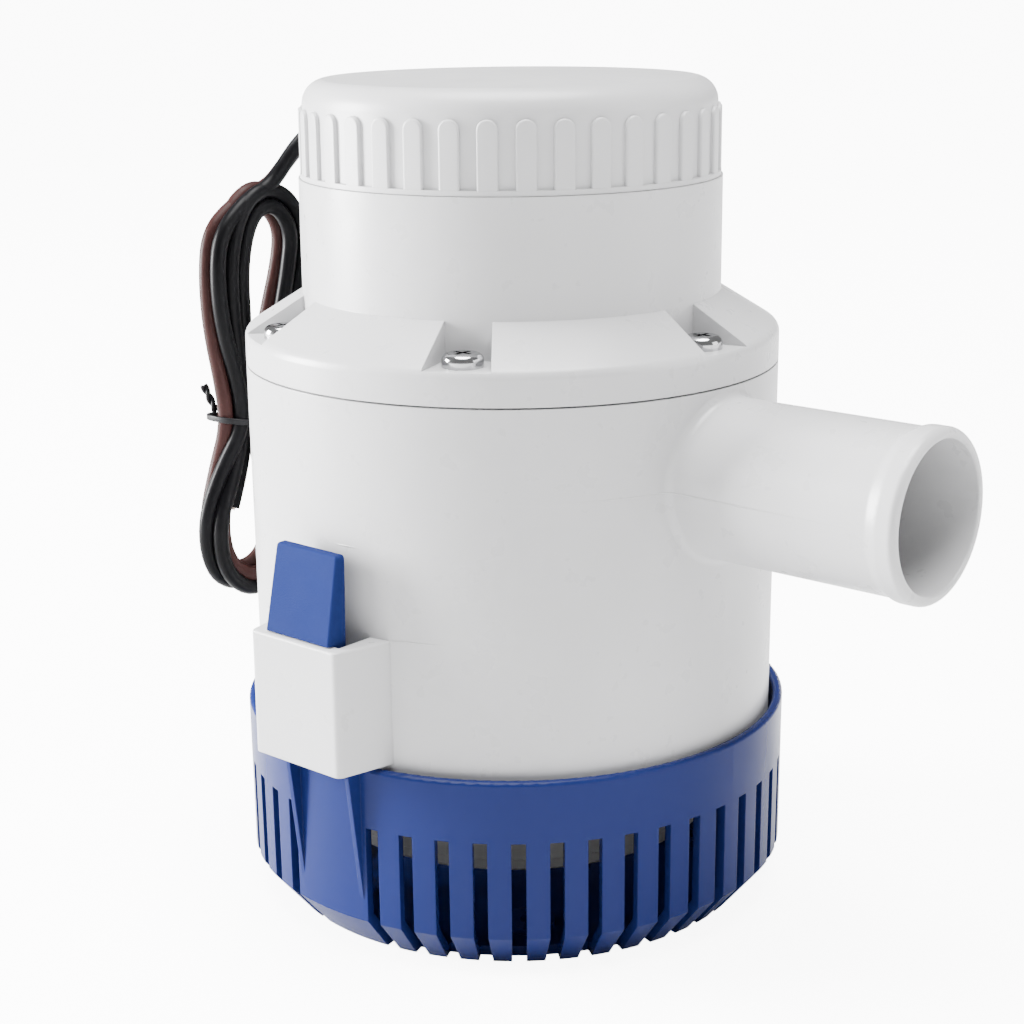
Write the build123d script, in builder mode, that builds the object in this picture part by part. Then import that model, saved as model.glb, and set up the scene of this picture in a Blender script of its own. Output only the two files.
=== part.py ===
"""Submersible bilge pump for a 38 mm hose.

A brushed motor stands sealed in the middle of a round casing. Its impeller draws water through the
slotted strainer base and the eye of the inlet plate, and drives it up the ring-shaped passage round
the motor to the side outlet. Two sprung tabs on the strainer hook over ledges in the casing's latch
boxes, so the pump lifts off its screwed-down strainer once both are pressed.

Origin: centre of the strainer's foot. +Z is up and +X is the outlet's axis. Millimetres.
"""

import os
from math import cos, pi, radians, sin, tan

from build123d import *

os.makedirs("parts", exist_ok=True)

# ---- driving dimensions ----
hose_d = 38.0                # inner diameter of the hose that the outlet takes

# strainer base
rim_r = 68.7
rim_z = 49.0
base_wall = 2.4
base_floor = 2.5
foot_r = 60.4
bevel_r = 68.5
bevel_z = 9.8
slot_count = 48              # places round the wall; those behind a latch stay solid
slot_w = 3.4
slot_top_z = 33.9
slot_inner_r = 57.5
seat_z = 35.9                # where the pump rests on the strainer's seat ribs
fin_d = 10.0                 # the two fins that carry a latch shelf, either side of its middle
fin_t = 1.3
fin_top_z = 48.6
base_screw_pcd = 92.0
base_screw_r = 2.6
base_screw_count = 4

# latches, at -Y and +Y
latch_sides = (-1, 1)
box_half_w = 14.0            # at its front face; it flares towards the drum
box_root_half_w = 17.0
box_root_d = 63.5
box_out = 77.7               # from the axis to the box's front face
box_bottom_z = 50.0
box_top_z = 80.1
box_wall = 1.5
box_side_wall = 2.2
box_corner_r = 1.8
ledge_in = 74.3              # the ledge that the tab hooks over ends here
ledge_t = 1.5
tab_half_w = 10.5
tab_top_half_w = 10.0
tab_top_z = 100.8
tab_hook_z = box_top_z + 0.3
tab_root_z = 50.5
tab_root_d = 72.6
tab_t = 2.6

# pump casing
case_bottom_z = 36.0         # the drum's lower end, above the strainer's slots
case_top_z = 135.1
case_bottom_r = 65.15
case_top_r = 65.65
case_wall = 3.0
skirt_r = 50.0               # the narrower inlet skirt below the drum
skirt_bore = 44.8
skirt_z = 21.4
outlet_z = 113.6
outlet_end = 120.9
outlet_bore_r = 17.2
bead_r = hose_d / 2 + 0.75
bead_land = 2.6              # the straight stretch of the bead
bead_round = 1.7             # from the land down to the end face
bead_rise = 3.4              # from the tube up to the land

# motor housing
gasket_t = 0.4
flange_z = case_top_z + gasket_t
pocket_floor_z = 143.1
cone_top_z = 152.0
motor_r = 51.35
housing_top_z = 179.5
inner_can_r = 44.0
inner_can_bore = 41.0
inner_can_z = 47.0
flange_screw_ring_r = 57.6
flange_screw_count = 6
pocket_in_w = 11.0
pocket_out_w = 15.9

# top cap
cap_z = 179.6
cap_skin_r = 49.95
cap_pad_r = 50.9
cap_rim_r = 50.95
cap_shoulder_z = 197.2
cap_top_z = 203.9
cap_pads = 37
pad_w = 4.75
pad_top_z = 196.2
lead_exit_z = 188.0

# impeller and motor
shaft_r = 4.0
running_gap = 0.05
impeller_r = 37.0
impeller_z = 28.3
motor_can_r = 39.6
motor_can_z = 66.0
motor_can_top_z = 152.0
armature_r = 28.5
commutator_r = 11.0
card_z = 137.0
brush_z = 144.0

# leads
lead_d = 4.2
lead_gap = 4.4               # between the two leads' middles in their gland
gland_end = 59.0             # how far behind the axis the leads leave their gland
hank_x = -76.0
hank_t = 14.0

# ---- worked-out dimensions ----
slot_pitch = 360 / slot_count
slot_angles = [
    slot_pitch * (k + 0.5)
    for k in range(slot_count)
    if abs(abs((slot_pitch * (k + 0.5) + 180) % 360 - 180) - 90) > slot_pitch
]
screw_angles = [k * 360 / flange_screw_count for k in range(flange_screw_count)]
plate_screw_angles = [30 + a for a in screw_angles]
plate_screw_ring_r = (skirt_r + skirt_bore) / 2
crown_edge_r = 45.2
crown_edge_z = 202.6
crown_rise = cap_top_z - crown_edge_z
crown_r = (crown_edge_r**2 + crown_rise**2) / (2 * crown_rise)  # centred on the axis
case_inner_bottom_r = case_bottom_r - case_wall
case_inner_top_r = case_top_r - case_wall


def round_at(radius, angle):
    """The point at that radius and angle about the pump's axis."""
    return radius * cos(radians(angle)), radius * sin(radians(angle))


def spots(radius, angles):
    """Locations at those angles on a circle, in the current sketch plane."""
    return Locations(*[round_at(radius, a) for a in angles])


def save(builder, name):
    """Labels a finished piece and writes it."""
    builder.part.label = name
    export_step(builder.part, f"parts/{name}.step")


# ================= strainer base =================
with BuildPart() as strainer_base:
    with BuildSketch(Plane.XZ):
        with BuildLine():
            Polyline(
                (0, 0), (foot_r, 0), (bevel_r, bevel_z), (rim_r, rim_z),
                (rim_r - base_wall, rim_z), (bevel_r - base_wall, bevel_z + 1.2),
                (foot_r - 1.4, base_floor), (0, base_floor), close=True,
            )
        make_face()
    revolve(axis=Axis.Z)
    rim_edges = strainer_base.edges().filter_by(GeomType.CIRCLE).group_by(Axis.Z)[-1]
    fillet(rim_edges, 0.9)
    # intake slots, open through the bevel
    with BuildSketch(Plane.XY.offset(-1)):
        for angle in slot_angles:
            with PolarLocations((slot_inner_r + 80) / 2, 1, start_angle=angle):
                Rectangle(80 - slot_inner_r, slot_w)
    extrude(amount=slot_top_z + 1, mode=Mode.SUBTRACT)
    # seat ribs that carry the pump, each behind a bar
    for angle in [slot_pitch + a for a in screw_angles]:
        across = radians(angle)
        rib_plane = Plane(
            origin=(0, 0, 0), x_dir=(cos(across), sin(across), 0),
            z_dir=(sin(across), -cos(across), 0),
        )
        with BuildSketch(rib_plane):
            with BuildLine():
                Polyline(
                    (57.4, base_floor - 0.5), (59.5, base_floor - 0.5), (66.8, 11), (66.8, seat_z),
                    (57.4, seat_z), close=True,
                )
            make_face()
        extrude(amount=1.2, both=True)
    # latch shelf and its two fins, one set a side
    for side in latch_sides:
        with BuildSketch(Plane.YZ):
            with BuildLine():
                Polyline(
                    (side * 67.0, 45.5), (side * 73.6, 48.1), (side * 73.6, fin_top_z),
                    (side * 67.0, fin_top_z), close=True,
                )
            make_face()
        extrude(amount=tab_half_w, both=True)
        for middle in (-fin_d, fin_d):
            with BuildSketch(Plane.YZ.offset(middle)):
                with BuildLine():
                    Polyline(
                        (side * 66.6, 13), (side * 67.7, 15), (side * 71.7, fin_top_z),
                        (side * 66.6, fin_top_z), close=True,
                    )
                make_face()
            extrude(amount=fin_t / 2, both=True)
    # bosses and holes for the screws into the boat
    boss_angles = [45 + 360 / base_screw_count * k for k in range(base_screw_count)]
    with BuildSketch(Plane.XY.offset(base_floor)):
        with spots(base_screw_pcd / 2, boss_angles):
            Circle(6.0)
    extrude(amount=1.5)
    with BuildSketch(Plane.XY.offset(-1)):
        with spots(base_screw_pcd / 2, boss_angles):
            Circle(base_screw_r)
    extrude(amount=8, mode=Mode.SUBTRACT)
save(strainer_base, "strainer_base")

# ================= latch tabs =================
for side, name in zip(latch_sides, ("latch_tab_front", "latch_tab_rear")):
    with BuildPart() as latch_tab:
        with BuildSketch(Plane.YZ):
            with BuildLine():
                Polyline(
                    (side * (tab_root_d - tab_t / 2), tab_root_z),
                    (side * (tab_root_d + tab_t / 2), tab_root_z),
                    (side * (tab_root_d + tab_t / 2), tab_hook_z),
                    (side * 76.2, tab_hook_z),
                    (side * 72.2, tab_top_z),
                    (side * 69.7, tab_top_z),
                    (side * 70.7, tab_hook_z - 2.5),
                    (side * (tab_root_d - tab_t / 2), tab_hook_z - 5),
                    close=True,
                )
            make_face()
            with Locations((side * tab_root_d, tab_root_z)):
                Circle(tab_t / 2)
        extrude(amount=tab_half_w, both=True)
        with BuildSketch(Plane.XZ):
            with BuildLine():
                Polyline(
                    (-tab_half_w, 40), (tab_half_w, 40), (tab_half_w, tab_hook_z),
                    (tab_top_half_w, tab_top_z + 1), (-tab_top_half_w, tab_top_z + 1),
                    (-tab_half_w, tab_hook_z), close=True,
                )
            make_face()
        extrude(amount=100, both=True, mode=Mode.INTERSECT)
        top_corners = latch_tab.edges().filter_by(
            lambda e: e.center().Z > tab_top_z - 0.5 and abs(e.center().X) > tab_top_half_w - 0.4
        )
        fillet(top_corners, 1.0)
        outer_rim = latch_tab.edges().filter_by(
            lambda e: abs(e.center().Y) > 71 and e.center().Z > tab_hook_z + 1
        )
        fillet(outer_rim, 0.8)
        inner_rim = latch_tab.edges().filter_by(
            lambda e: abs(e.center().Y) < 71 and e.center().Z > tab_hook_z + 1
        )
        fillet(inner_rim, 0.4)
    save(latch_tab, name)

# ================= pump casing =================
with BuildPart() as pump_casing:
    # latch boxes, open above and below
    for side in latch_sides:
        with BuildSketch(Plane.XY.offset(box_bottom_z)):
            with BuildLine():
                Polyline(
                    (-box_root_half_w, side * 50), (-box_root_half_w, side * box_root_d),
                    (-box_half_w, side * box_out), (box_half_w, side * box_out),
                    (box_root_half_w, side * box_root_d), (box_root_half_w, side * 50), close=True,
                )
            outline = make_face()
            corners = outline.vertices().sort_by(Axis.Y)
            fillet(corners[:2] if side < 0 else corners[-2:], box_corner_r)
            with Locations((0, side * (box_out - box_wall + 40) / 2)):
                Rectangle(2 * (box_half_w - box_side_wall), box_out - box_wall - 40,
                          mode=Mode.SUBTRACT)
        extrude(amount=box_top_z - box_bottom_z)
        with BuildSketch(Plane.XY.offset(box_top_z - ledge_t)):
            with Locations((0, side * (box_out - box_wall / 2 + ledge_in) / 2)):
                Rectangle(2 * (box_half_w - box_side_wall) + 1,
                          box_out - box_wall / 2 - ledge_in)
        extrude(amount=ledge_t)
    # drum
    with BuildSketch(Plane.XZ):
        with BuildLine():
            Polyline(
                (0, case_bottom_z), (case_bottom_r, case_bottom_z),
                (case_top_r, case_top_z), (0, case_top_z), close=True,
            )
        make_face()
    revolve(axis=Axis.Z)
    box_rims = pump_casing.edges().filter_by(
        lambda e: abs(e.center().Y) > 67 and box_top_z - 0.01 < e.center().Z < box_top_z + 0.01
        and (abs(e.center().Y) > box_out - 1 or abs(e.center().X) > box_half_w - 0.9)
    )
    fillet(box_rims, 0.6)
    # hose spigot with its bead
    with BuildSketch(Plane.XZ):
        with BuildLine():
            tube_top = outlet_z + hose_d / 2
            land_top = outlet_z + bead_r
            land_end = outlet_end - bead_round
            land_start = land_end - bead_land
            Polyline(
                (land_start - bead_rise, tube_top), (55, tube_top), (55, outlet_z),
                (outlet_end, outlet_z), (outlet_end, land_top - bead_round),
            )
            CenterArc((land_end, land_top - bead_round), bead_round, 0, 90)
            Line((land_end, land_top), (land_start, land_top))
            Bezier(
                (land_start, land_top), (land_start - bead_rise / 2, land_top),
                (land_start - bead_rise / 2, tube_top), (land_start - bead_rise, tube_top),
            )
        make_face()
    revolve(axis=Axis((0, 0, outlet_z), (1, 0, 0)))
    tube_root = pump_casing.edges().filter_by(
        lambda e: 55 < e.center().X < 70 and abs(e.center().Z - outlet_z) < 18
        and e.geom_type != GeomType.LINE
    )
    fillet(tube_root, 2.0)
    # water space
    with BuildSketch(Plane.XZ):
        with BuildLine():
            Polyline(
                (0, case_bottom_z), (skirt_bore, case_bottom_z), (skirt_bore, case_bottom_z + case_wall),
                (case_inner_bottom_r, case_bottom_z + case_wall),
                (case_inner_top_r, case_top_z - 4), (51.5, case_top_z - 4),
                (51.5, case_top_z), (0, case_top_z), close=True,
            )
        make_face()
    revolve(axis=Axis.Z, mode=Mode.SUBTRACT)
    with BuildSketch(Plane.YZ.offset(50)):
        with Locations((0, outlet_z)):
            Circle(outlet_bore_r)
    extrude(amount=80, mode=Mode.SUBTRACT)
    bore_rim = pump_casing.edges().filter_by(GeomType.CIRCLE).filter_by(
        lambda e: e.center().X > outlet_end - 0.1 and abs(e.radius - outlet_bore_r) < 0.01
    )
    fillet(bore_rim, 0.5)
    # blind bosses: above for the flange screws, below for the inlet plate's
    with BuildSketch(Plane.XY.offset(case_top_z - 14)):
        with spots(flange_screw_ring_r, screw_angles):
            Circle(5.4)
    extrude(amount=12)
    with BuildSketch(Plane.XY.offset(case_bottom_z)):
        with spots(plate_screw_ring_r, plate_screw_angles):
            Circle(2.9)
    extrude(amount=12)
    with BuildSketch(Plane.XY.offset(case_top_z + 1)):
        with spots(flange_screw_ring_r, screw_angles):
            Circle(1.9)
    extrude(amount=-13.5, mode=Mode.SUBTRACT)
    with BuildSketch(Plane.XY.offset(case_bottom_z - 1)):
        with spots(plate_screw_ring_r, plate_screw_angles):
            Circle(1.3)
    extrude(amount=11, mode=Mode.SUBTRACT)
save(pump_casing, "pump_casing")

# ================= inlet skirt =================
with BuildPart() as inlet_skirt:
    with BuildSketch(Plane.XY.offset(skirt_z)):
        Circle(skirt_r)
        Circle(skirt_bore, mode=Mode.SUBTRACT)
        with spots(plate_screw_ring_r, plate_screw_angles):
            Circle(1.8, mode=Mode.SUBTRACT)
    extrude(amount=case_bottom_z - skirt_z)
save(inlet_skirt, "inlet_skirt")

# ================= inlet plate =================
plate_z = 18.6
plate_top_z = 27.2
plate_t = skirt_z - plate_z
vane_count = 9
with BuildPart() as inlet_plate:
    with BuildSketch(Plane.XZ):
        with BuildLine():
            Polyline(
                (24.0, plate_z), (skirt_r, plate_z), (skirt_r, skirt_z),
                (skirt_bore - 0.1, skirt_z), (skirt_bore - 0.1, plate_top_z), (24.0, plate_top_z),
                close=True,
            )
        make_face()
    revolve(axis=Axis.Z)
    mouth = inlet_plate.edges().filter_by(GeomType.CIRCLE).group_by(Axis.Z)[0]
    fillet(mouth.sort_by(SortBy.RADIUS)[0], 3.0)
    fillet(inlet_plate.edges().filter_by(GeomType.CIRCLE).group_by(Axis.Z)[0].sort_by(
        SortBy.RADIUS)[-1], 0.5)
    # guide vanes that turn the water upwards
    with BuildSketch(Plane.XY.offset(plate_top_z)):
        for k in range(vane_count):
            start = 14 + k * 360 / vane_count
            with BuildLine():
                vane = ThreePointArc(
                    round_at(39.3, start), round_at(42.3, start + 8), round_at(44.4, start + 20)
                )
                Line(vane @ 1, round_at(43.2, start + 21))
                back = ThreePointArc(
                    round_at(43.2, start + 21), round_at(41.1, start + 9.5), round_at(38.6, start + 2)
                )
                Line(back @ 1, vane @ 0)
            make_face()
    extrude(amount=15)
    with BuildSketch(Plane.XY.offset(plate_z - 1)):
        with spots(plate_screw_ring_r, plate_screw_angles):
            Circle(1.8)
    extrude(amount=plate_t + 1, mode=Mode.SUBTRACT)
save(inlet_plate, "inlet_plate")

with BuildPart() as inlet_plate_screws:
    with BuildSketch(Plane.XY.offset(plate_z - 1.6)):
        with spots(plate_screw_ring_r, plate_screw_angles):
            Circle(2.3)
    extrude(amount=1.5)
    with BuildSketch(Plane.XY.offset(plate_z - 0.1)):
        with spots(plate_screw_ring_r, plate_screw_angles):
            Circle(1.45)
    extrude(amount=case_bottom_z - plate_z + 8)
save(inlet_plate_screws, "inlet_plate_screws")

# ================= motor housing =================
with BuildPart() as motor_housing:
    with BuildSketch(Plane.XZ):
        with BuildLine():
            Polyline(
                (inner_can_r, flange_z), (case_top_r, flange_z), (case_top_r, pocket_floor_z),
                (motor_r, cone_top_z), (motor_r, housing_top_z), (48.2, housing_top_z),
                (48.2, 150), (inner_can_bore, 142), (inner_can_bore, 64), (38.6, 64),
                (38.6, inner_can_z + 3),
                (14, inner_can_z + 3), (14, 63), (8, 63), (8, 51.5), (4.6, 51.5),
                (4.6, inner_can_z), (inner_can_r, inner_can_z), close=True,
            )
        make_face()
    revolve(axis=Axis.Z)
    shoulder = motor_housing.edges().filter_by(GeomType.CIRCLE).filter_by(
        lambda e: e.radius > 60 and e.center().Z > pocket_floor_z - 0.5
    )
    fillet(shoulder, 2.6)
    # screw pockets, splayed and open outwards
    pocket_slope = (pocket_out_w - pocket_in_w) / 2 / (case_top_r - motor_r)
    with BuildSketch(Plane.XY.offset(pocket_floor_z)):
        for angle in screw_angles:
            with PolarLocations(0, 1, start_angle=angle):
                Polygon(
                    (48, pocket_in_w / 2 - pocket_slope * (motor_r - 48)),
                    (48, -pocket_in_w / 2 + pocket_slope * (motor_r - 48)),
                    (68, -pocket_in_w / 2 - pocket_slope * (68 - motor_r)),
                    (68, pocket_in_w / 2 + pocket_slope * (68 - motor_r)),
                    align=None,
                )
        Circle(motor_r, mode=Mode.SUBTRACT)
    extrude(amount=12, mode=Mode.SUBTRACT)
    with BuildSketch(Plane.XY.offset(flange_z - 1)):
        with spots(flange_screw_ring_r, screw_angles):
            Circle(2.4)
    extrude(amount=12, mode=Mode.SUBTRACT)
save(motor_housing, "motor_housing")

with BuildPart() as flange_gasket:
    with BuildSketch(Plane.XY.offset(case_top_z)):
        Circle(case_top_r - 0.9)
        Circle(51.6, mode=Mode.SUBTRACT)
        with spots(flange_screw_ring_r, screw_angles):
            Circle(2.6, mode=Mode.SUBTRACT)
    extrude(amount=gasket_t)
save(flange_gasket, "flange_gasket")

# six pan-head screws with cross recesses
with BuildPart() as flange_screws:
    with BuildSketch(Plane.XY.offset(pocket_floor_z)):
        with spots(flange_screw_ring_r, screw_angles):
            Circle(4.75)
    extrude(amount=3.1)
    fillet(flange_screws.edges().group_by(Axis.Z)[-1], 1.7)
    with BuildSketch(Plane.XY.offset(pocket_floor_z)):
        with spots(flange_screw_ring_r, screw_angles):
            Circle(2.1)
    extrude(amount=-18.5)
    with BuildSketch(Plane.XY.offset(pocket_floor_z + 3.5)):
        with spots(flange_screw_ring_r, screw_angles):
            Rectangle(4.6, 1.1)
            Rectangle(1.1, 4.6)
    extrude(amount=-2.4, mode=Mode.SUBTRACT)
save(flange_screws, "flange_screws")

# ================= top cap =================
with BuildPart() as cap_pad:
    with BuildSketch(Plane.YZ.offset(cap_skin_r - 1.5)):
        with BuildLine():
            Polyline((-pad_w / 2, pad_top_z - pad_w / 2), (-pad_w / 2, cap_z + 0.6),
                     (pad_w / 2, cap_z + 0.6), (pad_w / 2, pad_top_z - pad_w / 2))
            ThreePointArc((pad_w / 2, pad_top_z - pad_w / 2), (0, pad_top_z),
                          (-pad_w / 2, pad_top_z - pad_w / 2))
        make_face()
    extrude(amount=4)
    with BuildSketch(Plane.XY.offset(cap_z)):
        Circle(cap_pad_r)
    extrude(amount=30, mode=Mode.INTERSECT)
    pad_front = cap_pad.faces().sort_by(Axis.X)[-1]
    fillet(pad_front.outer_wire().edges().filter_by(lambda e: e.center().Z > cap_z + 1), 0.45)

with BuildPart() as top_cap:
    with BuildSketch(Plane.XZ):
        with BuildLine():
            side_line = Polyline(
                (44.9, cap_z - 8.5), (47.7, cap_z - 8.5), (47.7, cap_z),
                (cap_rim_r, cap_z), (cap_rim_r, cap_z + 1.2), (cap_skin_r, cap_z + 1.2),
                (cap_skin_r, cap_shoulder_z),
            )
            shoulder_arc = ThreePointArc(
                side_line @ 1, (48.6, 200.6), (crown_edge_r, crown_edge_z)
            )
            crown = RadiusArc(shoulder_arc @ 1, (0, cap_top_z), -crown_r)
            Polyline(
                crown @ 1, (0, cap_top_z - 3.2), (42, cap_top_z - 4.2), (45.8, 196.5),
                (45.8, cap_z + 3), (44.9, cap_z + 1), (44.9, cap_z - 8.5),
            )
        make_face()
    revolve(axis=Axis.Z)
    # groove for the O-ring
    with BuildSketch(Plane.XY.offset(cap_z - 5.8)):
        Circle(49)
        Circle(46.1, mode=Mode.SUBTRACT)
    extrude(amount=2.6, mode=Mode.SUBTRACT)
    with PolarLocations(0, cap_pads, start_angle=-45.1):
        add(cap_pad.part)
    # boss and hole for the lead gland, behind
    with BuildSketch(Plane.YZ.offset(-46.5)):
        with Locations((0, lead_exit_z)):
            Circle(6.6)
    extrude(amount=-6.5)
    with BuildSketch(Plane.YZ.offset(-40)):
        with Locations((0, lead_exit_z)):
            Circle(4.9)
    extrude(amount=-20, mode=Mode.SUBTRACT)
save(top_cap, "top_cap")

with BuildPart() as cap_o_ring:
    with BuildSketch(Plane.XZ):
        with Locations((47.15, cap_z - 4.5)):
            Circle(1.0)
    revolve(axis=Axis.Z)
save(cap_o_ring, "cap_o_ring")

# rubber gland that both leads leave through
with BuildPart() as lead_gland:
    with BuildSketch(Plane.YZ.offset(-gland_end)):
        with Locations((0, lead_exit_z)):
            SlotCenterToCenter(lead_gap, 5.8)
    with BuildSketch(Plane.YZ.offset(-53.0)):
        with Locations((0, lead_exit_z)):
            SlotCenterToCenter(lead_gap, 7.4)
    loft()
    with BuildSketch(Plane.YZ.offset(-53.0)):
        with Locations((0, lead_exit_z)):
            Circle(4.9)
    extrude(amount=9)
save(lead_gland, "lead_gland")

# ================= shaft seals =================
for name, low in (("shaft_seal_lower", 51.6), ("shaft_seal_upper", 56.5)):
    with BuildPart() as shaft_seal:
        with BuildSketch(Plane.XZ):
            with BuildLine():
                Polyline(
                    (7.95, low), (7.95, low + 4.6), (6.6, low + 4.6), (6.6, low + 1.6),
                    (shaft_r + running_gap + 0.4, low + 3.2),
                    (shaft_r + running_gap, low + 2.6), (shaft_r + running_gap + 0.5, low),
                    close=True,
                )
            make_face()
        revolve(axis=Axis.Z)
    save(shaft_seal, name)

with BuildPart() as seal_washer:
    with BuildSketch(Plane.XY.offset(61.4)):
        Circle(7.95)
        Circle(4.6, mode=Mode.SUBTRACT)
    extrude(amount=1.2)
save(seal_washer, "seal_washer")

# ================= rotor =================
with BuildPart() as motor_shaft:
    with BuildSketch(Plane.XY.offset(29.8)):
        Circle(2.5)
    extrude(amount=6.4)
    with BuildSketch(Plane.XY.offset(36.2)):
        Circle(shaft_r)
    extrude(amount=122.6)
    chamfer(motor_shaft.edges().group_by(Axis.Z)[-1], 0.5)
save(motor_shaft, "motor_shaft")

# semi-open impeller with six swept-back vanes
impeller_vanes = 6
with BuildPart() as impeller:
    with BuildSketch(Plane.XY.offset(impeller_z + 12)):
        Circle(impeller_r)
    extrude(amount=2.4)
    with BuildSketch(Plane.XY.offset(impeller_z + 6)):
        Circle(8.5)
    extrude(amount=12)
    with BuildSketch(Plane.XY.offset(impeller_z)):
        for k in range(impeller_vanes):
            start = k * 360 / impeller_vanes
            with BuildLine():
                lead = ThreePointArc(
                    round_at(17, start), round_at(26, start - 17), round_at(36.6, start - 48)
                )
                Line(lead @ 1, round_at(36.6, start - 51.5))
                trail = ThreePointArc(
                    round_at(36.6, start - 51.5), round_at(24.6, start - 20), round_at(15.2, start - 5)
                )
                Line(trail @ 1, lead @ 0)
            make_face()
    extrude(amount=12.2)
    with BuildSketch(Plane.XY.offset(impeller_z + 6)):
        for k in range(impeller_vanes):
            with PolarLocations(12, 1, start_angle=k * 360 / impeller_vanes - 2):
                Rectangle(10, 1.8)
    extrude(amount=6.2)
    with BuildSketch(Plane.XY.offset(impeller_z - 1)):
        Circle(2.5)
    extrude(amount=36.2 - impeller_z + 1, mode=Mode.SUBTRACT)
    with BuildSketch(Plane.XY.offset(36.2)):
        Circle(shaft_r)
    extrude(amount=20, mode=Mode.SUBTRACT)
save(impeller, "impeller")

with BuildPart() as impeller_nut:
    with BuildSketch(Plane.XY.offset(30.3)):
        RegularPolygon(4.6, 6)
        Circle(2.5, mode=Mode.SUBTRACT)
    extrude(amount=4.0)
save(impeller_nut, "impeller_nut")

armature_slots = 12
with BuildPart() as armature_core:
    with BuildSketch(Plane.XY.offset(80)):
        Circle(armature_r)
        with PolarLocations(22.4, armature_slots):
            Rectangle(8.0, 5.4, mode=Mode.SUBTRACT)
        with PolarLocations(27.5, armature_slots):
            Rectangle(5.0, 2.0, mode=Mode.SUBTRACT)
        Circle(shaft_r, mode=Mode.SUBTRACT)
    extrude(amount=46)
save(armature_core, "armature_core")

with BuildPart() as armature_windings:
    with BuildSketch(Plane.XY.offset(79.5)):
        with PolarLocations(22.3, armature_slots):
            Rectangle(7.4, 5.0)
    extrude(amount=47)
    for low, height in ((72.5, 7.5), (126.0, 6.5)):
        with BuildSketch(Plane.XY.offset(low)):
            Circle(26.4)
            Circle(9.5, mode=Mode.SUBTRACT)
        extrude(amount=height)
    for outer_edge in (
        armature_windings.edges().filter_by(GeomType.CIRCLE).group_by(Axis.Z)[0],
        armature_windings.edges().filter_by(GeomType.CIRCLE).group_by(Axis.Z)[-1],
    ):
        fillet(outer_edge, 2.6)
save(armature_windings, "armature_windings")

commutator_bars = 12
with BuildPart() as commutator:
    with BuildSketch(Plane.XY.offset(134)):
        Circle(commutator_r)
        Circle(7.6, mode=Mode.SUBTRACT)
        with PolarLocations(9.5, commutator_bars, start_angle=15):
            Rectangle(6, 0.6, mode=Mode.SUBTRACT)
    extrude(amount=15)
save(commutator, "commutator")

with BuildPart() as commutator_core:
    with BuildSketch(Plane.XY.offset(134)):
        Circle(7.6)
        Circle(shaft_r, mode=Mode.SUBTRACT)
    extrude(amount=15)
save(commutator_core, "commutator_core")

# ================= motor shell =================
with BuildPart() as motor_can:
    with BuildSketch(Plane.XZ):
        with BuildLine():
            Polyline(
                (5.5, motor_can_z), (motor_can_r, motor_can_z), (motor_can_r, motor_can_top_z),
                (motor_can_r - 2.2, motor_can_top_z), (motor_can_r - 2.2, motor_can_z + 2.2),
                (12.6, motor_can_z + 2.2), (12.6, motor_can_z + 5.8),
                (11.0, motor_can_z + 5.8), (11.0, motor_can_z + 1.2), (5.5, motor_can_z + 1.2),
                close=True,
            )
        make_face()
    revolve(axis=Axis.Z)
    with BuildSketch(Plane.XY.offset(motor_can_z - 1)):
        with Locations((0, 34.6), (0, -34.6)):
            Circle(1.9)
    extrude(amount=6, mode=Mode.SUBTRACT)
save(motor_can, "motor_can")

with BuildPart() as motor_seat_ring:
    with BuildSketch(Plane.XZ):
        with BuildLine():
            Polyline(
                (motor_can_r, 67), (40.8, 67), (40.8, 64), (38.8, 64), (38.8, motor_can_z),
                (motor_can_r, motor_can_z), close=True,
            )
        make_face()
    revolve(axis=Axis.Z)
save(motor_seat_ring, "motor_seat_ring")

with BuildPart() as field_magnets:
    with BuildSketch(Plane.XY.offset(76)):
        Circle(motor_can_r - 2.3)
        Circle(29.4, mode=Mode.SUBTRACT)
        Rectangle(30, 90, mode=Mode.SUBTRACT)
    extrude(amount=54)
save(field_magnets, "field_magnets")

end_bell_z = motor_can_top_z
with BuildPart() as end_bell:
    with BuildSketch(Plane.XZ):
        with BuildLine():
            Polyline(
                (5.5, end_bell_z + 7), (12.6, end_bell_z + 7), (14, end_bell_z + 2.5),
                (motor_can_r, end_bell_z + 2.5), (motor_can_r, end_bell_z),
                (11.0, end_bell_z), (11.0, end_bell_z + 5.8), (5.5, end_bell_z + 5.8),
                close=True,
            )
        make_face()
    revolve(axis=Axis.Z)
    with BuildSketch(Plane.XY.offset(end_bell_z - 1)):
        with Locations((0, 34.6), (0, -34.6)):
            Circle(1.9)
        with Locations((24, 18), (-24, -18)):
            Circle(2.4)
    extrude(amount=6, mode=Mode.SUBTRACT)
save(end_bell, "end_bell")

with BuildPart() as through_bolts:
    with BuildSketch(Plane.XY.offset(motor_can_z - 2.2)):
        with Locations((0, 34.6), (0, -34.6)):
            Circle(3.2)
    extrude(amount=2.2)
    with BuildSketch(Plane.XY.offset(motor_can_z)):
        with Locations((0, 34.6), (0, -34.6)):
            Circle(1.6)
    extrude(amount=end_bell_z + 6.5 - motor_can_z)
save(through_bolts, "through_bolts")

with BuildPart() as bolt_nuts:
    with BuildSketch(Plane.XY.offset(end_bell_z + 2.5)):
        with Locations((0, 34.6), (0, -34.6)):
            RegularPolygon(3.2, 6)
            Circle(1.6, mode=Mode.SUBTRACT)
    extrude(amount=2.6)
save(bolt_nuts, "bolt_nuts")

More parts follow.
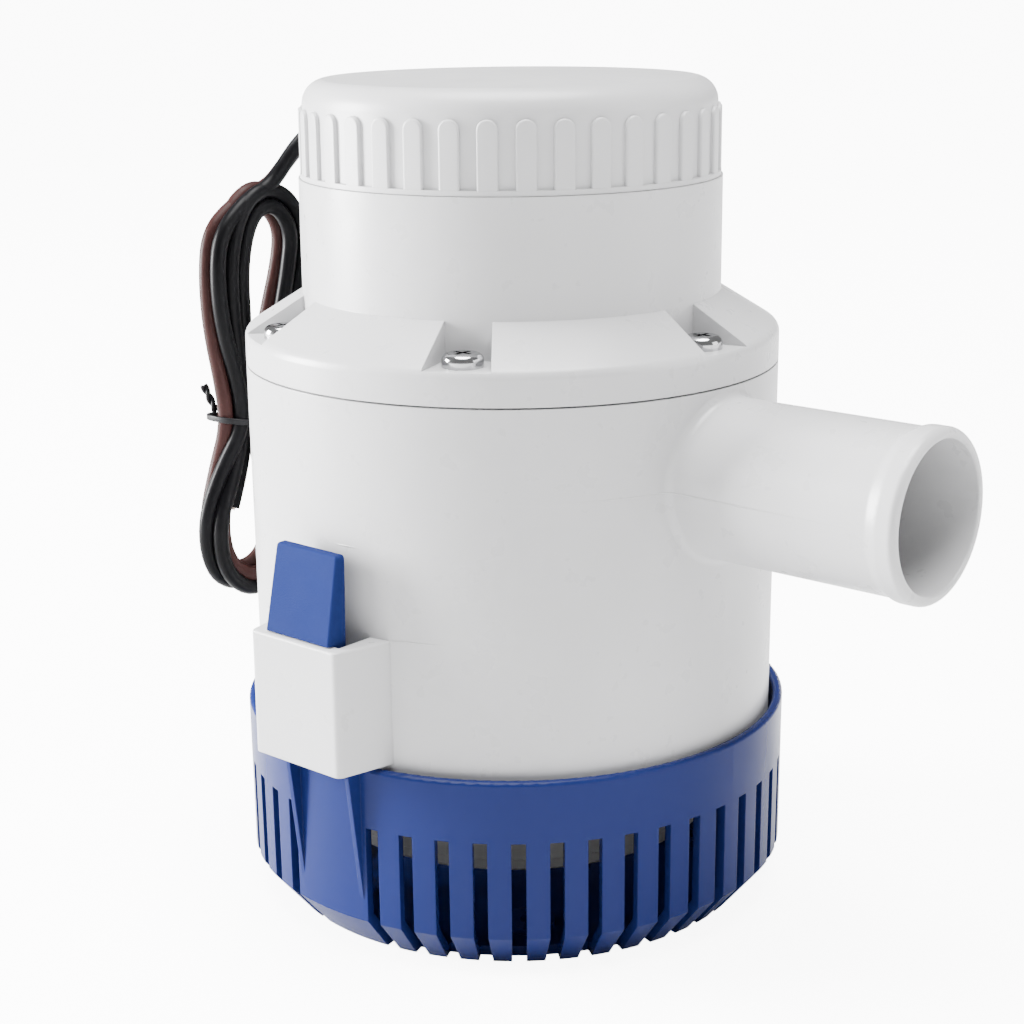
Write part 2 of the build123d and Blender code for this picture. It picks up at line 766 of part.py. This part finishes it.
# ================= ball bearings =================
ball_count = 8
ball_ring_r = 7.5
ball_r = 1.6
for place, low in (("lower", motor_can_z + 1.3), ("upper", end_bell_z + 1.2)):
    mid = low + 2.25
    with BuildPart() as bearing_outer:
        with BuildSketch(Plane.XZ):
            with Locations((9.9, mid)):
                Rectangle(2.2, 4.5)
            with Locations((ball_ring_r, mid)):
                Circle(ball_r + running_gap, mode=Mode.SUBTRACT)
        revolve(axis=Axis.Z)
    save(bearing_outer, f"{place}_bearing_outer_ring")
    with BuildPart() as bearing_inner:
        with BuildSketch(Plane.XZ):
            with Locations((5.1, mid)):
                Rectangle(2.2, 4.5)
            with Locations((ball_ring_r, mid)):
                Circle(ball_r + running_gap, mode=Mode.SUBTRACT)
        revolve(axis=Axis.Z)
    save(bearing_inner, f"{place}_bearing_inner_ring")
    with BuildPart() as bearing_balls:
        with Locations(Plane.XY.offset(mid)):
            with PolarLocations(ball_ring_r, ball_count):
                Sphere(ball_r)
    save(bearing_balls, f"{place}_bearing_balls")

# ================= brush gear =================
post_spots = [(24, 18), (-24, -18)]
with BuildPart() as brush_card:
    with BuildSketch(Plane.XY.offset(card_z)):
        Circle(motor_can_r - 2.4)
        Circle(14, mode=Mode.SUBTRACT)
        with Locations((0, 34.6), (0, -34.6)):
            Circle(1.9, mode=Mode.SUBTRACT)
    extrude(amount=2)
save(brush_card, "brush_card")

with BuildPart() as brush_posts:
    with BuildSketch(Plane.XY.offset(card_z + 2)):
        with Locations(*post_spots):
            Circle(1.5)
    extrude(amount=20)
save(brush_posts, "brush_posts")

for side, name in ((1, "a"), (-1, "b")):
    with BuildPart() as brush:
        with BuildSketch(Plane.XY.offset(brush_z - 3)):
            with Locations((side * 15.1, 0)):
                Rectangle(8.0, 5.0)
        extrude(amount=6)
    save(brush, f"brush_{name}")
    # flat spring, hooked round its post
    with BuildPart() as brush_arm:
        with BuildSketch(Plane.XY.offset(brush_z - 3)):
            with Locations((side * 24, side * 18)):
                Circle(2.3)
            with BuildLine():
                Polyline(
                    (side * 19.1, side * -3), (side * 19.8, side * -3), (side * 26.2, side * 17.4),
                    (side * 25.5, side * 18.4), (side * 24.9, side * 17.8), close=True,
                )
            make_face()
            with Locations((side * 24, side * 18)):
                Circle(1.5 + running_gap, mode=Mode.SUBTRACT)
            with Locations((side * 15.1, 0)):
                Rectangle(8.0, 5.0, mode=Mode.SUBTRACT)
        extrude(amount=6)
    save(brush_arm, f"brush_arm_{name}")

# ================= leads =================
internal_routes = (
    [(24, 18, 159), (24, 18, 165), (20, 14, 174), (11, 8.5, 182), (-2, 4, 187), (-16, 1.8, 188),
     (-44, 1.8, 188)],
    [(-24, -18, 159), (-24, -18, 164), (-25, -15, 172), (-28, -9, 180), (-32, -3.8, 186),
     (-37, -1.8, 188), (-44, -1.8, 188)],
)


def fitting_radii(points):
    """For each corner of a route, the largest arc that its two runs leave room for."""
    radii = []
    for a, b, c in zip(points, points[1:], points[2:]):
        run_in, run_out = Vector(*b) - Vector(*a), Vector(*c) - Vector(*b)
        half_turn = radians(run_in.get_angle(run_out)) / 2
        radii.append(0.45 * min(run_in.length, run_out.length) / tan(half_turn))
    return radii


def tube(points, diameter):
    """A round tube of straight runs joined by arcs."""
    radii = fitting_radii(points)
    with BuildPart() as made:
        with BuildLine() as path:
            FilletPolyline(*points, radius=radii)
        line = path.wire()
        with BuildSketch(Plane(origin=line @ 0, z_dir=line % 0)):
            Circle(diameter / 2)
        sweep(path=line)
    full_volume = pi * diameter**2 / 4 * line.length
    print(f"radii {[round(r, 1) for r in radii]}, length {line.length:.1f}, "
          f"volume over section times length {made.part.volume / full_volume:.3f}")
    return made


internal_tubes = [tube(route, 2.4) for route in internal_routes]
with BuildPart() as internal_leads:
    add([one.part for one in internal_tubes])
save(internal_leads, "internal_leads")

black_route = [
    (-59, -2.2, 188), (-63.2, -2.2, 188), (-67.5, -2.6, 186.3), (-70.7, -4.1, 183.0),
    (-72.6, -6.5, 178.9), (-73.6, -9.5, 174.8), (-74.0, -12.2, 171.2),
]
brown_route = [
    (-59, 2.2, 188), (-64.6, 2.2, 188), (-70.4, 2.0, 186.2), (-74.3, -0.6, 182.1),
    (-76.2, -4.0, 177.6), (-77.5, -7.8, 173.0),
]
save(tube(black_route, lead_d), "lead_black")
save(tube(brown_route, lead_d), "lead_brown")

# the hank of both leads, as the closed shape that its turns fill
hank_outline = [
    (-11, 178), (-3, 176.5), (3, 171), (4.5, 163), (3, 150), (-2, 137), (-8, 123), (-9.8, 111),
    (-6.5, 98), (-4.5, 84), (-7.5, 70), (-14, 62.5), (-21.5, 60.8), (-30, 63), (-37, 71),
    (-38.5, 84), (-34.5, 98), (-28, 111), (-29, 123), (-31.5, 137), (-33, 150), (-31.5, 162),
    (-26.5, 171), (-19, 176.5),
]
with BuildPart() as lead_hank:
    with BuildSketch(Plane.YZ.offset(hank_x - hank_t / 2)):
        with BuildLine():
            Spline(*hank_outline, periodic=True)
        make_face()
    extrude(amount=hank_t)
save(lead_hank, "lead_hank")

with BuildPart() as lead_tie:
    with BuildSketch(Plane.XY.offset(109.5)):
        with Locations((hank_x, -18.8)):
            RectangleRounded(hank_t + 2.6, 20.5, 4)
            RectangleRounded(hank_t + 0.4, 18.3, 2.9, mode=Mode.SUBTRACT)
    extrude(amount=3.6)
save(lead_tie, "lead_tie")
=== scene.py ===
"""The bilge pump's looks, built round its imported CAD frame. Metres, +Z up, +X along the outlet."""

import math
import random

import bpy
from mathutils import Matrix, Vector


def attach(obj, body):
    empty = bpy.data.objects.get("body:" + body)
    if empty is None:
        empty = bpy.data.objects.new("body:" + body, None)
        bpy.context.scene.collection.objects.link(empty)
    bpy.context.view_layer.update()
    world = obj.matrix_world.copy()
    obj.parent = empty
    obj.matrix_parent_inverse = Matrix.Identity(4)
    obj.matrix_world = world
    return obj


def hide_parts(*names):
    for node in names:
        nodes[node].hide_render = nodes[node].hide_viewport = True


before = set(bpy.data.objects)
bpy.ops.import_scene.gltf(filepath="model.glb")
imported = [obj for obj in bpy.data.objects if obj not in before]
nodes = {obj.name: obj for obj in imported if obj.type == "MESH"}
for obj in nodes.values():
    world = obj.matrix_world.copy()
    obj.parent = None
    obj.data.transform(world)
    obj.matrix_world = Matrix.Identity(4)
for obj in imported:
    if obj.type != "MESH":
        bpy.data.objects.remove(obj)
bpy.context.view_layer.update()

MM = 0.001


# ================= camera =================
CAMERA_AZIMUTH = 41.0
CAMERA_PITCH = 15.3
CAMERA_ROLL = -0.56
CAMERA_DISTANCE = 498.1 * MM
CAMERA_HEIGHT = 230.45 * MM
CAMERA_LENS = 71.48
CAMERA_SHIFT = -0.002
SENSOR_WIDTH = 36
NEAR_CLIP = 0.01


def make_camera():
    """The photograph's viewing angle, found from the pump's own outlines."""
    data = bpy.data.cameras.new("view_camera")
    data.sensor_width = SENSOR_WIDTH
    data.lens = CAMERA_LENS
    data.shift_x = CAMERA_SHIFT
    data.clip_start = NEAR_CLIP
    camera = bpy.data.objects.new("view_camera", data)
    bpy.context.collection.objects.link(camera)
    turn = math.radians(CAMERA_AZIMUTH)
    camera.location = (
        CAMERA_DISTANCE * math.sin(turn), -CAMERA_DISTANCE * math.cos(turn), CAMERA_HEIGHT
    )
    aim = (
        Matrix.Rotation(turn, 3, "Z")
        @ Matrix.Rotation(math.radians(90 - CAMERA_PITCH), 3, "X")
        @ Matrix.Rotation(math.radians(CAMERA_ROLL), 3, "Z")
    )
    camera.rotation_euler = aim.to_euler()
    bpy.context.scene.camera = camera


make_camera()


# ================= materials =================
# The middle part of a noise's 0 to 1, which holds nearly all of it.
NOISE_LOW, NOISE_HIGH = 0.3, 0.7
LINE_HEIGHT = 0.16 * MM
LINE_REACH = 0.3 * MM
EDGE_SAMPLES = 4


def new_material(name, color, roughness, metallic=0.0):
    """A Principled material. Returns it with its node tree's parts."""
    material = bpy.data.materials.new(name)
    material.use_nodes = True
    tree = material.node_tree
    shader = tree.nodes["Principled BSDF"]
    shader.inputs["Base Color"].default_value = (*color, 1)
    shader.inputs["Roughness"].default_value = roughness
    shader.inputs["Metallic"].default_value = metallic
    return material, tree, shader


def noise(tree, scale, detail=3.0, stretch=(1, 1, 1)):
    """A noise texture over the object's own coordinates, in metres."""
    place = tree.nodes.new("ShaderNodeTexCoord")
    mapping = tree.nodes.new("ShaderNodeMapping")
    mapping.inputs["Scale"].default_value = stretch
    texture = tree.nodes.new("ShaderNodeTexNoise")
    texture.inputs["Scale"].default_value = scale
    texture.inputs["Detail"].default_value = detail
    tree.links.new(place.outputs["Object"], mapping.inputs["Vector"])
    tree.links.new(mapping.outputs["Vector"], texture.inputs["Vector"])
    return texture.outputs["Fac"]


def ramp(tree, source, low, high):
    """A colour that runs from low to high as the source does."""
    node = tree.nodes.new("ShaderNodeValToRGB")
    node.color_ramp.elements[0].position = NOISE_LOW
    node.color_ramp.elements[0].color = (*low, 1)
    node.color_ramp.elements[1].position = NOISE_HIGH
    node.color_ramp.elements[1].color = (*high, 1)
    tree.links.new(source, node.inputs["Fac"])
    return node.outputs["Color"]


def spread(tree, source, low, high):
    """The source's value, mapped to between low and high."""
    node = tree.nodes.new("ShaderNodeMapRange")
    node.inputs["From Min"].default_value = NOISE_LOW
    node.inputs["From Max"].default_value = NOISE_HIGH
    node.inputs["To Min"].default_value = low
    node.inputs["To Max"].default_value = high
    tree.links.new(source, node.inputs["Value"])
    return node.outputs["Result"]


def math_node(tree, operation, first, second):
    """A maths node over a socket and either a number or another socket."""
    node = tree.nodes.new("ShaderNodeMath")
    node.operation = operation
    tree.links.new(first, node.inputs[0])
    if isinstance(second, float):
        node.inputs[1].default_value = second
    else:
        tree.links.new(second, node.inputs[1])
    return node.outputs["Value"]


def near(tree, source, middle, reach):
    """1 where the source is at the middle, falling to 0 at that reach either side of it."""
    off = math_node(tree, "SUBTRACT", source, middle)
    node = tree.nodes.new("ShaderNodeMapRange")
    node.interpolation_type = "SMOOTHSTEP"
    node.inputs["From Max"].default_value = reach
    node.inputs["To Min"].default_value = 1.0
    node.inputs["To Max"].default_value = 0.0
    tree.links.new(math_node(tree, "ABSOLUTE", off, 0.0), node.inputs["Value"])
    return node.outputs["Result"]


def mould_lines(tree, lines):
    """Fine raised lines left by the mould: each at a height, about an X and over that reach."""
    place = tree.nodes.new("ShaderNodeTexCoord")
    split = tree.nodes.new("ShaderNodeSeparateXYZ")
    tree.links.new(place.outputs["Object"], split.inputs["Vector"])
    total = None
    for height, middle, reach in lines:
        line = math_node(
            tree, "MULTIPLY",
            near(tree, split.outputs["Z"], height * MM, LINE_REACH),
            near(tree, split.outputs["X"], middle * MM, reach * MM),
        )
        total = math_node(tree, "ADD", total, line) if total else line
    return total


def bump(tree, shader, source, depth, edge=0.0, lines=()):
    """A bump of that depth in metres, over mould lines and edges that look rounded."""
    node = tree.nodes.new("ShaderNodeBump")
    node.inputs["Distance"].default_value = depth
    tree.links.new(source, node.inputs["Height"])
    tree.links.new(node.outputs["Normal"], shader.inputs["Normal"])
    if lines:
        raised = tree.nodes.new("ShaderNodeBump")
        raised.inputs["Distance"].default_value = LINE_HEIGHT
        tree.links.new(mould_lines(tree, lines), raised.inputs["Height"])
        tree.links.new(raised.outputs["Normal"], node.inputs["Normal"])
        node = raised
    if edge:
        rounding = tree.nodes.new("ShaderNodeBevel")
        rounding.samples = EDGE_SAMPLES
        rounding.inputs["Radius"].default_value = edge
        tree.links.new(rounding.outputs["Normal"], node.inputs["Normal"])


def tint(color, factor):
    """The colour, that many times as bright."""
    return tuple(min(1.0, c * factor) for c in color)


def moulded(
    name, color, roughness, grain=0.00002, grain_scale=900, cloud=0.03, specular=0.5, edge=0.0,
    gloss_drift=0.04, lines=(),
):
    """Injection-moulded plastic: faint colour drift, uneven gloss and a fine grain."""
    material, tree, shader = new_material(name, color, roughness)
    shader.inputs["Specular IOR Level"].default_value = specular
    drift = noise(tree, 28, detail=2)
    tree.links.new(
        ramp(tree, drift, tint(color, 1 - cloud), tint(color, 1 + cloud)),
        shader.inputs["Base Color"],
    )
    sheen = noise(tree, 140, detail=4)
    tree.links.new(
        spread(tree, sheen, roughness - gloss_drift, roughness + gloss_drift),
        shader.inputs["Roughness"],
    )
    bump(tree, shader, noise(tree, grain_scale, detail=2), grain, edge, lines)
    return material


WHITE = (0.50, 0.50, 0.507)
BLUE = (0.0095, 0.0165, 0.089)
TAB_BLUE = (0.0115, 0.0195, 0.088)
# The casing's mould lines in mm: height, the middle in X, and how far it runs either way.
CASING_LINES = [(113.6, 78.0, 36.0), (80.3, 22.0, 9.0), (101.0, 6.0, 4.0)]

white_plastic = moulded("white_plastic", WHITE, 0.30, grain=0.000006, edge=0.0004)
casing_plastic = moulded(
    "casing_plastic", WHITE, 0.30, grain=0.000006, edge=0.0004, lines=CASING_LINES
)
white_plastic_cap = moulded("white_plastic_cap", WHITE, 0.36, grain=0.00001, edge=0.0003)
blue_plastic = moulded(
    "blue_plastic", BLUE, 0.25, grain=0.000006, cloud=0.02, specular=0.08, edge=0.0004,
    gloss_drift=0.012,
)
tab_plastic = moulded(
    "tab_plastic", TAB_BLUE, 0.7, grain=0.00005, grain_scale=2600, cloud=0.05, specular=0.02
)
grey_plastic = moulded("grey_plastic", (0.080, 0.080, 0.080), 0.45, edge=0.0003)
black_rubber = moulded("black_rubber", (0.012, 0.012, 0.013), 0.5, grain=0.00002)
phenolic = moulded("phenolic", (0.12, 0.05, 0.02), 0.5)
carbon = moulded("carbon", (0.02, 0.02, 0.022), 0.6)
ferrite = moulded("ferrite", (0.03, 0.03, 0.034), 0.45)


def metal(name, color, roughness, scratch=0.05):
    """Metal with fine streaks in its gloss and a faint colour drift."""
    material, tree, shader = new_material(name, color, roughness, metallic=1.0)
    streaks = noise(tree, 500, detail=4, stretch=(1, 1, 0.2))
    tree.links.new(
        spread(tree, streaks, roughness - scratch, roughness + scratch),
        shader.inputs["Roughness"],
    )
    tree.links.new(
        ramp(tree, noise(tree, 90), tint(color, 0.94), tint(color, 1.04)),
        shader.inputs["Base Color"],
    )
    bump(tree, shader, streaks, 0.000004)
    return material


stainless = metal("stainless", (0.45, 0.45, 0.46), 0.14)
steel = metal("steel", (0.42, 0.42, 0.43), 0.32)
copper = metal("copper", (0.72, 0.30, 0.14), 0.3)
brass = metal("brass", (0.70, 0.50, 0.20), 0.28)


def insulation(name, color, roughness):
    """The leads' insulation: smooth, slightly waxy, with a faint drawn texture."""
    material, tree, shader = new_material(name, color, roughness)
    shader.inputs["Specular IOR Level"].default_value = 0.065
    drift = noise(tree, 60, detail=3)
    tree.links.new(
        ramp(tree, drift, tint(color, 0.8), tint(color, 1.2)), shader.inputs["Base Color"]
    )
    tree.links.new(
        spread(tree, noise(tree, 300), roughness - 0.06, roughness + 0.08),
        shader.inputs["Roughness"],
    )
    bump(tree, shader, noise(tree, 1500, detail=2), 0.00001)
    return material


tinned = metal("tinned_copper", (0.66, 0.55, 0.47), 0.35)
tie_material = moulded("tie_plastic", (0.006, 0.006, 0.007), 0.4, specular=0.15)
lead_black_material = insulation("lead_black_insulation", (0.0030, 0.0030, 0.0036), 0.36)
lead_brown_material = insulation("lead_brown_insulation", (0.030, 0.0125, 0.0115), 0.4)

NODE_MATERIALS = {
    "strainer_base": blue_plastic,
    "latch_tab_front": tab_plastic,
    "latch_tab_rear": tab_plastic,
    "pump_casing": casing_plastic,
    # The inlet skirt is made dark grey, much darker than the white casing above it, so it shows dark
    # through the base's slots.
    "inlet_skirt": grey_plastic,
    "inlet_plate": grey_plastic,
    "inlet_plate_screws": stainless,
    "motor_housing": white_plastic,
    "flange_gasket": black_rubber,
    "flange_screws": stainless,
    "top_cap": white_plastic_cap,
    "cap_o_ring": black_rubber,
    "lead_gland": black_rubber,
    "shaft_seal_lower": black_rubber,
    "shaft_seal_upper": black_rubber,
    "seal_washer": stainless,
    "motor_shaft": stainless,
    "impeller": grey_plastic,
    "impeller_nut": brass,
    "armature_core": steel,
    "armature_windings": copper,
    "commutator": copper,
    "commutator_core": phenolic,
    "motor_can": steel,
    "motor_seat_ring": black_rubber,
    "field_magnets": ferrite,
    "end_bell": steel,
    "through_bolts": steel,
    "bolt_nuts": steel,
    "lower_bearing_outer_ring": stainless,
    "lower_bearing_inner_ring": stainless,
    "lower_bearing_balls": stainless,
    "upper_bearing_outer_ring": stainless,
    "upper_bearing_inner_ring": stainless,
    "upper_bearing_balls": stainless,
    "brush_card": phenolic,
    "brush_posts": brass,
    "brush_a": carbon,
    "brush_b": carbon,
    "brush_arm_a": brass,
    "brush_arm_b": brass,
    "internal_leads": black_rubber,
}
for node_name, material in NODE_MATERIALS.items():
    node = nodes[node_name]
    node.data.materials.clear()
    node.data.materials.append(material)


# ================= leads =================
LEAD_D = 4.2 * MM
HANK_X = -76.0
HANK_TURNS = 2.3
STRAND_GAP = 4.3
SWAY = 0.3
SWAY_SEED = 5
# Down the middle of the hank's bundle, in mm: Y, Z, how far the bundle has twisted by there, in
# degrees, and how far each earlier turn falls inside the next one.
HANK_LOOP = [
    (-13, 172, 0, 0), (-20.6, 168.6, 0, 0), (-25.4, 160.5, 0, 0), (-27, 150, 0, 0),
    (-26.8, 137, 10, 0), (-25.6, 123, 40, 0), (-25, 111, 45, 0), (-29.2, 98, 335, 0.3),
    (-35, 85, 311, 0.6), (-33, 71.5, 300, 0.8), (-22.5, 64, 270, 1.6), (-12.5, 71.5, 240, 0.8),
    (-10, 85, 229, 0.6), (-13, 98, 250, 0.3), (-15.8, 111, 270, 0), (-14.4, 123, 300, 0),
    (-8.4, 137, 345, 0), (-3, 150, 360, 0), (-1.6, 160.5, 360, 0), (-5.2, 168.6, 360, 0),
]
FIRST_STATION = 2
BLACK_EXIT = [
    (-59, -2.2, 188), (-63.2, -2.2, 188), (-67.5, -2.6, 186.3), (-70.7, -4.1, 183.0),
    (-72.6, -6.5, 178.9), (-73.6, -9.5, 174.8), (-74.0, -13.2, 171.9), (-74.2, -20.0, 169.5),
]
BROWN_EXIT = [
    (-59, 2.2, 188), (-64.6, 2.2, 188), (-70.4, 2.0, 186.2), (-74.3, -0.6, 182.1),
    (-76.2, -4.0, 177.6), (-77.5, -7.8, 173.0), (-78.2, -13.6, 170.6), (-78.4, -21.0, 168.2),
]
LEAD_TAILS = {
    "black": [(-79.4, -19.8, 103.5), (-79.2, -22.0, 95.5), (-79.0, -25.4, 87.4)],
    "brown": [(-81.6, -20.6, 104), (-81.4, -19.6, 97)],
}


def hank_turns(side, turns):
    """One lead's turns. Side is 1 for the black lead and -1 for the brown, a pair in the bundle."""
    sway = random.Random(SWAY_SEED)
    count = len(HANK_LOOP)
    points = []
    for step in range(FIRST_STATION, round(turns * count) + 1):
        y, z, twist, fall = HANK_LOOP[step % count]
        before, after = HANK_LOOP[(step - 1) % count], HANK_LOOP[(step + 1) % count]
        along = Vector((after[0] - before[0], after[1] - before[1])).normalized()
        outward = Vector((along.y, -along.x))
        turn = step / count
        across, layer = side * STRAND_GAP / 2, STRAND_GAP * (1.1 - turn)
        c, s = math.cos(math.radians(twist)), math.sin(math.radians(twist))
        x = HANK_X + across * c + layer * s + sway.uniform(-SWAY, SWAY)
        out = layer * c - across * s - fall * (HANK_TURNS - turn) + sway.uniform(-SWAY, SWAY)
        points.append((x, y + outward.x * out, z + outward.y * out))
    return points


def curve_piece(name, runs, depth, material, cyclic=False, flat=0.0):
    """A NURBS tube through those runs of points, given in mm."""
    data = bpy.data.curves.new(name, "CURVE")
    data.dimensions = "3D"
    data.bevel_depth = depth
    data.bevel_resolution = 5
    data.resolution_u = 6
    data.extrude = flat
    data.use_fill_caps = True
    data.twist_mode = "Z_UP" if flat else "MINIMUM"
    for run in runs:
        spline = data.splines.new("NURBS")
        spline.points.add(len(run) - 1)
        for place, (x, y, z) in zip(spline.points, run):
            place.co = (x * MM, y * MM, z * MM, 1)
        spline.order_u = 3
        spline.use_endpoint_u = not cyclic
        spline.use_cyclic_u = cyclic
    data.materials.append(material)
    piece = bpy.data.objects.new(name, data)
    bpy.context.collection.objects.link(piece)
    return piece


STRAND_D = 0.4 * MM
STRAND_RINGS = ((0.0, 1), (0.42, 6), (0.84, 12))


def wire_end(name, run):
    """The bright strands at a lead's cut end: a bundle of fine wires a little proud of the cut."""
    tip = Vector(run[-1])
    heading = (tip - Vector(run[-2])).normalized()
    aside = heading.orthogonal().normalized()
    other = heading.cross(aside)
    strands = []
    for ring, count in STRAND_RINGS:
        for k in range(count):
            a = 2 * math.pi * k / count
            foot = tip + ring * (math.cos(a) * aside + math.sin(a) * other)
            proud = 0.5 + 0.25 * math.sin(5 * a + ring)
            strands.append([foot - 1.5 * heading, foot, foot + proud * heading])
    return curve_piece(name, strands, STRAND_D / 2, tinned)


for colour, side, exit_run, material in (
    ("black", 1, BLACK_EXIT, lead_black_material),
    ("brown", -1, BROWN_EXIT, lead_brown_material),
):
    route = exit_run + hank_turns(side, HANK_TURNS) + LEAD_TAILS[colour]
    lead = curve_piece(f"{colour}_lead", [route], LEAD_D / 2, material)
    core = wire_end(f"{colour}_lead_strands", route)
    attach(lead, "pump")
    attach(core, "pump")
    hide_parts(f"lead_{colour}", "lead_hank")


TIE_POINTS = 16
TIE_MIDDLE = Vector((HANK_X - 0.5, -21.3, 111.6))
TIE_HALF_X, TIE_HALF_Y = 7.7, 10.5
TIE_SQUARENESS = 2.8
TIE_SLOPE = 0.16
TIE_CORE_R, TIE_WING = 0.35 * MM, 0.45 * MM
TAIL_STEPS = 22
TAIL_TWIST = 0.33
TAIL_R = 0.5
TAIL_WIRE_R = 0.62 * MM
TAIL_FOOT, TAIL_TOP = Vector((-80.6, -27.9, 114.2)), Vector((-82.6, -30.0, 121.2))


def make_tie():
    """The twist tie round the hank's waist, with its twisted tail."""
    ring = []
    for k in range(TIE_POINTS):
        a = 2 * math.pi * k / TIE_POINTS
        c, s = math.cos(a), math.sin(a)
        spans = abs(c / TIE_HALF_X) ** TIE_SQUARENESS + abs(s / TIE_HALF_Y) ** TIE_SQUARENESS
        reach = spans ** (-1 / TIE_SQUARENESS)
        ring.append(TIE_MIDDLE + reach * Vector((c, s, -TIE_SLOPE * s)))
    band = curve_piece("hank_tie", [ring], TIE_CORE_R, tie_material, cyclic=True, flat=TIE_WING)
    heading = (TAIL_TOP - TAIL_FOOT).normalized()
    aside = heading.orthogonal().normalized()
    other = heading.cross(aside)
    step = (TAIL_TOP - TAIL_FOOT).length / TAIL_STEPS
    tails = []
    for phase in (0.0, math.pi):
        wire = []
        for k in range(TAIL_STEPS + 1):
            turn = TAIL_TWIST * k + phase
            off = TAIL_R * (math.cos(turn) * aside + math.sin(turn) * other)
            wire.append(TAIL_FOOT + heading * (step * k) + off)
        tails.append(wire)
    tail = curve_piece("hank_tie_tail", tails, TAIL_WIRE_R, tie_material)
    for piece in (band, tail):
        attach(piece, "pump")
    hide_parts("lead_tie")


make_tie()


# ================= room and light =================
FLOOR_SIZE = 80
# Seen by the camera only: the floor and surroundings look brighter than they light the pump.
BACKDROP_GLOW = 8.0
WORLD_LIGHT = 0.34
KEY_PLACE, KEY_WIDTH, KEY_HEIGHT, KEY_POWER = (-1.065, -0.746, 0.32), 0.5, 0.8, 128
FILL_PLACE, FILL_WIDTH, FILL_POWER = (1.17, 0.57, 0.45), 0.7, 6
LIGHT_TARGET = (0, 0, 0.10)
OVERHEAD_STRENGTH = 11.0
OVERHEAD_ANGLE = 45


def area_light(name, place, target, size, power, size_y=None):
    """A soft light at that place, turned to the target."""
    data = bpy.data.lights.new(name, "AREA")
    data.energy = power
    data.size = size
    if size_y:
        data.shape = "RECTANGLE"
        data.size_y = size_y
    light = bpy.data.objects.new(name, data)
    bpy.context.collection.objects.link(light)
    light.location = place
    light.rotation_euler = (Vector(target) - Vector(place)).to_track_quat("-Z", "Y").to_euler()


def make_room():
    """A wide pale floor, brighter to the eye than it lights the pump, and soft lights."""
    bpy.ops.mesh.primitive_plane_add(size=FLOOR_SIZE, location=(0, 0, 0))
    floor = bpy.context.object
    floor.name = "studio_floor"
    material, tree, shader = new_material("studio_floor", (0.75, 0.75, 0.75), 0.9)
    shader.inputs["Specular IOR Level"].default_value = 0.0
    tree.links.new(
        ramp(tree, noise(tree, 3), (0.74, 0.74, 0.74), (0.76, 0.76, 0.76)),
        shader.inputs["Base Color"],
    )
    shader.inputs["Emission Color"].default_value = (1, 1, 1, 1)
    seen = tree.nodes.new("ShaderNodeLightPath")
    glow = math_node(tree, "MULTIPLY", seen.outputs["Is Camera Ray"], BACKDROP_GLOW)
    tree.links.new(glow, shader.inputs["Emission Strength"])
    floor.data.materials.append(material)
    world = bpy.data.worlds.new("studio")
    world.use_nodes = True
    sky = world.node_tree
    sky.nodes["Background"].inputs["Color"].default_value = (1, 1, 1, 1)
    seen = sky.nodes.new("ShaderNodeLightPath")
    glow = math_node(sky, "MULTIPLY", seen.outputs["Is Camera Ray"], BACKDROP_GLOW)
    strength = math_node(sky, "ADD", glow, WORLD_LIGHT)
    sky.links.new(strength, sky.nodes["Background"].inputs["Strength"])
    bpy.context.scene.world = world
    area_light("key", KEY_PLACE, LIGHT_TARGET, KEY_WIDTH, KEY_POWER, size_y=KEY_HEIGHT)
    area_light("fill", FILL_PLACE, LIGHT_TARGET, FILL_WIDTH, FILL_POWER)
    overhead = bpy.data.lights.new("overhead", "SUN")
    overhead.energy = OVERHEAD_STRENGTH
    overhead.angle = math.radians(OVERHEAD_ANGLE)
    light = bpy.data.objects.new("overhead", overhead)
    bpy.context.collection.objects.link(light)


make_room()
